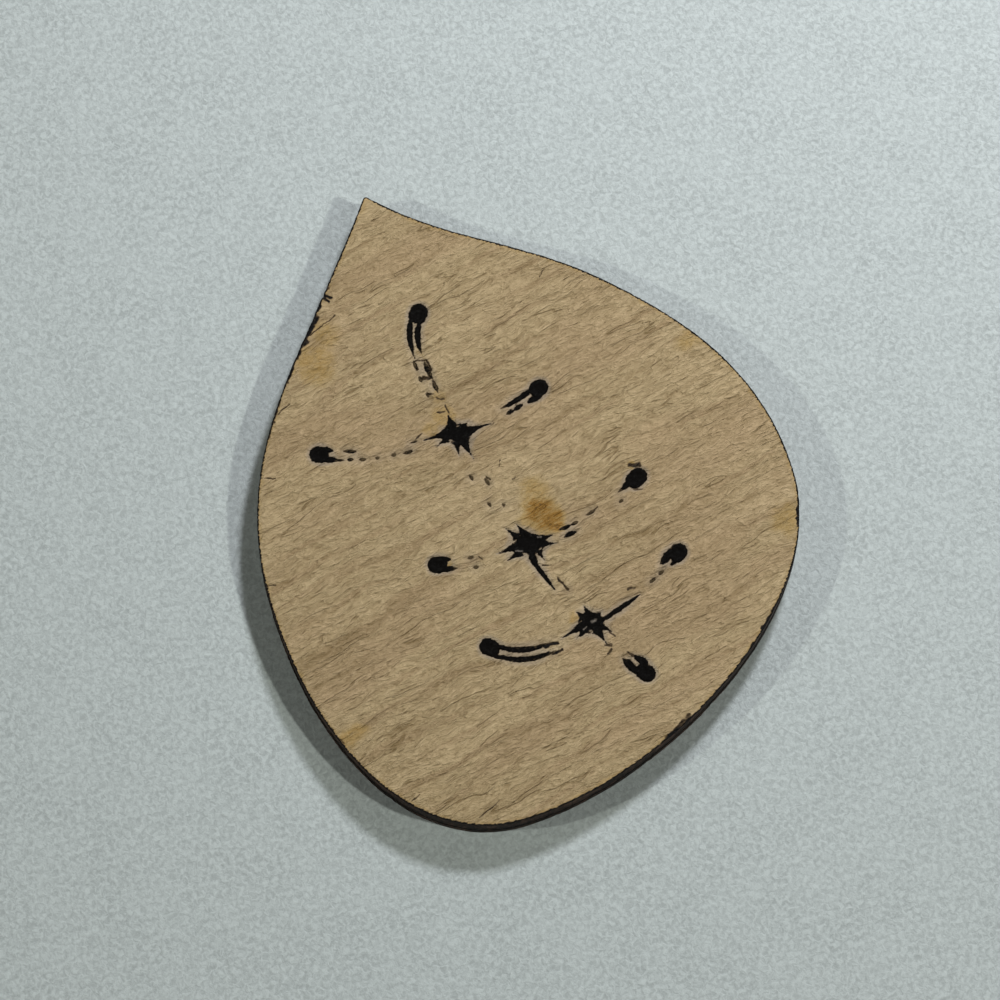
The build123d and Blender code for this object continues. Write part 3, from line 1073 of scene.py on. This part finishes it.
@once
def glue_material():
    """Hard glue film, scorched and slightly shiny."""
    material, tree, shader = new_material("Scorched glue film")
    place = tree.grain_place()
    beam = tree.group(beam_group(), {"Place": place})
    beads = tree.noise(tree.scaled(place, 7.0, 7.0, 12.0), 2.0, 0.5)
    base = tree.mix(tree.step(beam["Blotch"], 0.4, 0.7), finish("glue_brown"), finish("soot"))
    roughness = tree.step(beads, 0.35, 0.65, 0.28, 0.5)
    height = tree.plus(beam["Ripple"], tree.times(beads, 0.5))
    dress(tree, shader, base, roughness, height, bump_distance=0.03, shine=0.25)
    return material


@once
def char_material():
    """The burned marks: black crust, browner where a mark is slight, with a few pale ash slits."""
    material, tree, shader = new_material("Burned wood")
    place = tree.grain_place()
    crust = tree.group(
        crust_group(),
        {"Place": place, "Dark": finish("soot"), "Bloom": finish("ash"), "Bloom amount": 0.35},
    )
    fleck = tree.swing(tree.scaled(place, 4.0, 6.0, 4.0), 3.0, 0.6)
    burned = tree.plus(tree.attribute("weight"), tree.times(fleck, 0.5))
    base = tree.mix(tree.step(burned, 0.19, 0.05, 0.0, 0.85), crust["Color"], finish("singed"))
    ash = tree.times(tree.attribute("ash"), tree.plus(0.5, fleck))
    base = tree.mix(ash, base, finish("bleached"))
    dress(tree, shader, base, crust["Roughness"], crust["Height"], bump_distance=0.03, shine=0.06)
    return material


@once
def floor_material():
    """A pale painted table top with a faint orange-peel skin.

    Far from the leaf it takes the backdrop's colour, for the camera only, so that no dark rim shows.
    """
    material, tree, shader = new_material("Pale table top")
    place = tree.add("ShaderNodeTexCoord", {}, "Object")
    place = tree.scaled(place, 1 / MM, 1 / MM, 1 / MM)
    skin = tree.noise(tree.scaled(place, 2.6, 2.6, 2.6), 3.0, 0.7, 0.6)
    clouds = tree.noise(tree.scaled(place, 0.25, 0.25, 0.25), 3.0, 0.6)
    pale = bpy.context.scene.leaf_stage.floor_colour
    light = (*(min(1.0, 1.05 * c) for c in pale), 1.0)
    dark = (*(0.71 * c for c in pale), 1.0)
    base = tree.mix(tree.step(skin, 0.3, 0.7), dark, light)
    base = tree.mix(tree.step(clouds, 0.3, 0.7, 0.0, 0.25), base, light)
    dress(tree, shader, base, 0.5, skin, bump_distance=0.06, shine=0.3)
    away = tree.add("ShaderNodeVectorMath", {0: place}, "Value", operation="LENGTH")
    watched = tree.add("ShaderNodeLightPath", {}, "Is Camera Ray")
    far = tree.times(tree.step(away, FADE_FROM, FADE_TO), watched)
    glow = tree.add("ShaderNodeEmission", {"Color": BACKDROP})
    blend = tree.add("ShaderNodeMixShader", {0: far, 1: shader.outputs["BSDF"], 2: glow})
    tree.feed(material.node_tree.nodes["Material Output"], {"Surface": blend})
    return material


# ---------------------------------------------------------------- where heat reached
def edge_burn(points):
    """How burned each place is by the lingering beam, from 0 to 1."""
    edge = -sample(Fields.leaf, points)
    torn = edge + 0.16 * speckle(points, 0.7, 0.4, 611) + 0.08 * speckle(points, 0.2, 0.2, 613)
    return np.maximum.reduce(
        [touch(points, a, b, 0.9) * smooth(torn, reach, 0.5 * reach) for a, b, reach in EDGE_BURNS]
    )


def stains(points):
    """How deeply heat has stained each place, from 0 to 1."""
    heading = turn("leaf_board", "grain_heading")
    along = np.array([math.cos(heading), math.sin(heading)])
    across = np.array([-along[1], along[0]])
    waved = wander(wander(points, 0.9, 0.25, 501), 0.3, 0.1, 505)
    deepest = np.zeros(len(points))
    for centre, half_length, half_width, depth in STAINS:
        offset = waved - centre
        away = np.hypot(offset @ along / half_length, offset @ across / half_width)
        deepest = np.maximum(deepest, depth * smooth(away, 1.0, 0.3))
    return deepest


# ---------------------------------------------------------------- pieces
class LEAF_OT_face_ply(bpy.types.Operator):
    """Lay the carved face veneer, with its relief, stains and sunk marks"""

    bl_idname = "leaf.face_ply"
    bl_label = "Face Ply"

    def execute(self, context):
        low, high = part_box("face_veneer")
        bottom, top = low.z / MM, high.z / MM
        levels = [bottom, bottom + 0.15, bottom + 0.4, bottom + 0.6, top - 0.15, top - 0.06, top]
        points = inner_points(size("leaf_board", "mesh_spacing"), size("leaf_board", "detail_spacing"))
        piece, plan = add_ply(
            "face_ply", "face_veneer", [edge_material("face"), face_material()],
            levels, 0.0, top=face_height, points=points,
        )
        torn = ragged(plan)
        soot = [strength * touch(torn, a, b, width) for a, b, width, strength in SOOT_TOUCHES]
        # Painted shade: a dark line along each edge check, laid into the soot mask over its sunk groove.
        checks = [0.5 * touch(torn, start, end, 0.08) for start, end in EDGE_CHECKS]
        give(piece.data, "soot", np.maximum.reduce([*soot, *checks, edge_burn(plan)]))
        give(piece.data, "weight", heaviness(plan))
        give(piece.data, "stain", stains(plan))
        return {"FINISHED"}


class LEAF_OT_core_ply(bpy.types.Operator):
    """Lay the cross-grain core with its burned end grain"""

    bl_idname = "leaf.core_ply"
    bl_label = "Core Ply"

    def execute(self, context):
        low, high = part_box("core_veneer")
        levels = np.linspace(low.z / MM, high.z / MM, 9).tolist()
        add_ply(
            "core_ply", "core_veneer", [edge_material("core")],
            levels, size("leaf_board", "core_recess"),
        )
        return {"FINISHED"}


class LEAF_OT_back_ply(bpy.types.Operator):
    """Lay the back veneer with its smoke haze"""

    bl_idname = "leaf.back_ply"
    bl_label = "Back Ply"

    def execute(self, context):
        low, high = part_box("back_veneer")
        bottom, top = low.z / MM, high.z / MM
        levels = [bottom, bottom + 0.06, bottom + 0.2, bottom + 0.4, bottom + 0.6, top - 0.1, top]
        add_ply(
            "back_ply", "back_veneer", [edge_material("back"), back_material()],
            levels, 0.0, bottom=back_height, points=inner_points(BACK_SPACING),
        )
        return {"FINISHED"}


class LEAF_OT_glue_films(bpy.types.Operator):
    """Lay both glue films, which show as dark lines round the edge"""

    bl_idname = "leaf.glue_films"
    bl_label = "Glue Films"

    def execute(self, context):
        for name, node in (("face_glue", "face_glue_line"), ("back_glue", "back_glue_line")):
            low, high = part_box(node)
            levels = [low.z / MM, (low.z + high.z) / 2 / MM, high.z / MM]
            add_ply(name, node, [glue_material()], levels, GLUE_RECESS)
        return {"FINISHED"}


class LEAF_OT_burned_marks(bpy.types.Operator):
    """Set the char crust into every burned mark"""

    bl_idname = "leaf.burned_marks"
    bl_label = "Burned Marks"

    def execute(self, context):
        for node in BURNS:
            add_char(node)
        return {"FINISHED"}


# ---------------------------------------------------------------- stage
# Lamps round the board: heading from +X and elevation in degrees, distance and width in millimetres,
# power in watts, and colour. The window is near, so the table darkens away from it.
LAMPS = {
    "Right lamp": (-33.0, 50.7, 600.0, 28.0, 1.04, (0.94, 1.0, 0.945)),
    "Left lamp": (172.5, 39.0, 600.0, 18.0, 0.73, (0.937, 1.0, 0.93)),
    "Window": (51.0, 46.0, 250.0, 36.0, 0.415, (0.885, 0.93, 1.0)),
}
SKY = (0.02, 0.018, 0.018, 1.0)
BACKDROP = (0.42, 0.455, 0.45, 1.0)
# The table top's half width, and how far from the leaf it fades into the backdrop, in millimetres.
FLOOR_HALF = 1200.0
FLOOR_CELLS = 12
FADE_FROM = 90.0
FADE_TO = 300.0
# The point that the camera looks at, its lens, its sensor's width and its nearest view, in millimetres.
CAMERA_AIM = (-1.62, -0.84, FACE_TOP)
CAMERA_LENS = 189.4
CAMERA_SENSOR = 36.0
CAMERA_NEAREST = 10.0


def add_lamp(name, heading, elevation, distance, width, power, tint):
    """An area lamp that faces the middle of the board."""
    lamp = bpy.data.lights.new(name, "AREA")
    lamp.shape = "DISK"
    lamp.size = width * MM
    lamp.energy = power
    lamp.color = tint
    made = bpy.data.objects.new(name, lamp)
    side, rise = math.radians(heading), math.radians(elevation)
    away = Vector((math.cos(side) * math.cos(rise), math.sin(side) * math.cos(rise), math.sin(rise)))
    made.location = away * distance * MM
    made.rotation_euler = away.to_track_quat("Z", "Y").to_euler()
    bpy.context.scene.collection.objects.link(made)


def add_floor():
    """A wide table top under the leaf."""
    row = FLOOR_CELLS + 1
    steps = np.linspace(-FLOOR_HALF * MM, FLOOR_HALF * MM, row)
    x, y = np.meshgrid(steps, steps)
    places = np.column_stack([x.ravel(), y.ravel(), np.zeros(x.size)])
    firsts = [i * row + j for i in range(FLOOR_CELLS) for j in range(FLOOR_CELLS)]
    faces = [(first, first + 1, first + row + 1, first + row) for first in firsts]
    mesh = bpy.data.meshes.new("table_top")
    mesh.from_pydata(places.tolist(), [], faces)
    mesh.materials.append(floor_material())
    floor = bpy.data.objects.new("table_top", mesh)
    bpy.context.scene.collection.objects.link(floor)
    floor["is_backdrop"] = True


def add_sky():
    """Soft light from all round, and a paler backdrop where the camera looks past the table."""
    world = bpy.data.worlds.new("Studio")
    world.use_nodes = True
    nodes, links = world.node_tree.nodes, world.node_tree.links
    light = nodes["Background"]
    light.inputs["Color"].default_value = SKY
    seen = nodes.new("ShaderNodeBackground")
    seen.inputs["Color"].default_value = BACKDROP
    blend = nodes.new("ShaderNodeMixShader")
    links.new(nodes.new("ShaderNodeLightPath").outputs["Is Camera Ray"], blend.inputs["Fac"])
    links.new(light.outputs["Background"], blend.inputs[1])
    links.new(seen.outputs["Background"], blend.inputs[2])
    links.new(blend.outputs["Shader"], nodes["World Output"].inputs["Surface"])
    bpy.context.scene.world = world


def add_camera():
    """Looks down at the face, leaning back towards the leaf's foot and turned so that the tip points left."""
    tilt, lean = turn("leaf_stage", "camera_tilt"), turn("leaf_stage", "camera_turn")
    right = Vector((math.cos(lean), -math.sin(lean), 0.0))
    ahead = Vector((math.sin(lean), math.cos(lean), 0.0))
    sky = Vector((0.0, 0.0, 1.0))
    back = math.cos(tilt) * sky - math.sin(tilt) * ahead
    up = math.cos(tilt) * ahead + math.sin(tilt) * sky
    aim = Vector(CAMERA_AIM) * MM
    camera = bpy.data.cameras.new("Camera")
    camera.lens = CAMERA_LENS
    camera.sensor_width = CAMERA_SENSOR
    camera.clip_start = CAMERA_NEAREST * MM
    made = bpy.data.objects.new("Camera", camera)
    turned = Matrix((right, up, back)).transposed().to_4x4()
    turned.translation = aim + back * size("leaf_stage", "camera_distance") * MM
    made.matrix_world = turned
    bpy.context.scene.collection.objects.link(made)
    bpy.context.scene.camera = made


class LEAF_OT_stage(bpy.types.Operator):
    """Add the table top, the lamps, the sky and the camera"""

    bl_idname = "leaf.stage"
    bl_label = "Stage"

    def execute(self, context):
        add_floor()
        add_sky()
        for name, facts in LAMPS.items():
            add_lamp(name, *facts)
        add_camera()
        context.scene.view_settings.view_transform = "Standard"
        return {"FINISHED"}


# ---------------------------------------------------------------- panel and registration
class LEAF_PT_panel(bpy.types.Panel):
    """Lists the settings and the pieces of the leaf"""

    bl_label = "Burned Leaf"
    bl_idname = "LEAF_PT_panel"
    bl_space_type = "VIEW_3D"
    bl_region_type = "UI"
    bl_category = "Leaf"

    def draw(self, context):
        for operator in OPERATORS:
            self.layout.operator(operator.bl_idname)
        for name, group in SETTINGS.items():
            box = self.layout.box()
            box.label(text=group.__doc__)
            for field in group.__annotations__:
                box.prop(getattr(context.scene, name), field)


OPERATORS = (
    LEAF_OT_stage,
    LEAF_OT_back_ply,
    LEAF_OT_core_ply,
    LEAF_OT_glue_films,
    LEAF_OT_face_ply,
    LEAF_OT_burned_marks,
)
CLASSES = (*SETTINGS.values(), *OPERATORS, LEAF_PT_panel)


def register():
    """Adds the operators, the panel and each group of settings."""
    for cls in CLASSES:
        bpy.utils.register_class(cls)
    for name, group in SETTINGS.items():
        setattr(bpy.types.Scene, name, PointerProperty(type=group))


def unregister():
    """Takes away what register added."""
    for name in SETTINGS:
        delattr(bpy.types.Scene, name)
    for cls in reversed(CLASSES):
        bpy.utils.unregister_class(cls)


def main():
    """Builds the stage and every piece."""
    register()
    bpy.ops.leaf.stage()
    bpy.ops.leaf.back_ply()
    bpy.ops.leaf.core_ply()
    bpy.ops.leaf.glue_films()
    bpy.ops.leaf.face_ply()
    bpy.ops.leaf.burned_marks()


if __name__ == "__main__":
    main()
